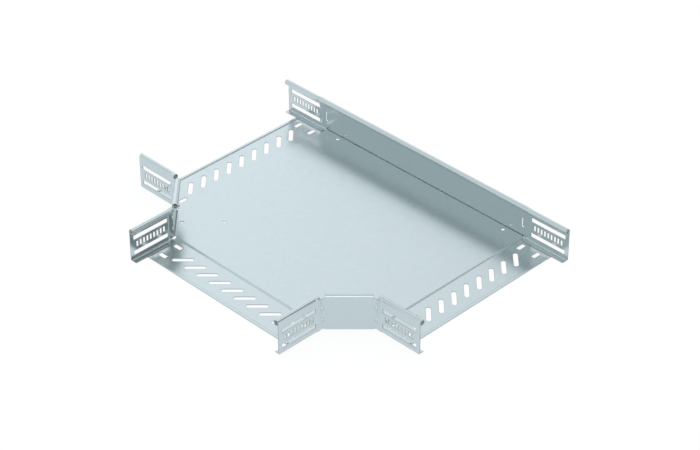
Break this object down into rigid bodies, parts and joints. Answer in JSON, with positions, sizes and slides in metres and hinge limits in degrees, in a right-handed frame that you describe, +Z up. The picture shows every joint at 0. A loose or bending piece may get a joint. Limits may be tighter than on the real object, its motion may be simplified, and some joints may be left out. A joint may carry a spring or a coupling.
{
  "type": "cable tray tee",
  "caption": "Folded sheet tee for cable trays: flat deck, low side rails with rolled top edges, slotted connectors and perforated strips at the open ends.",
  "frame": {"origin": "middle of the tee's bounding box, on the plane that the strips rest on", "axes": "+X along the straight run, -Y toward the end of the branch, +Z up"},
  "size_m": [0.555, 0.4264, 0.0565],
  "materials": {
    "galvanised": "hot-dip galvanised sheet, satin, pale grey"
  },
  "bodies": {
    "root": {"base_plate": "galvanised", "straight_rail": "galvanised", "corner_rail_left": "galvanised", "corner_rail_right": "galvanised"}
  },
  "joints": []
}
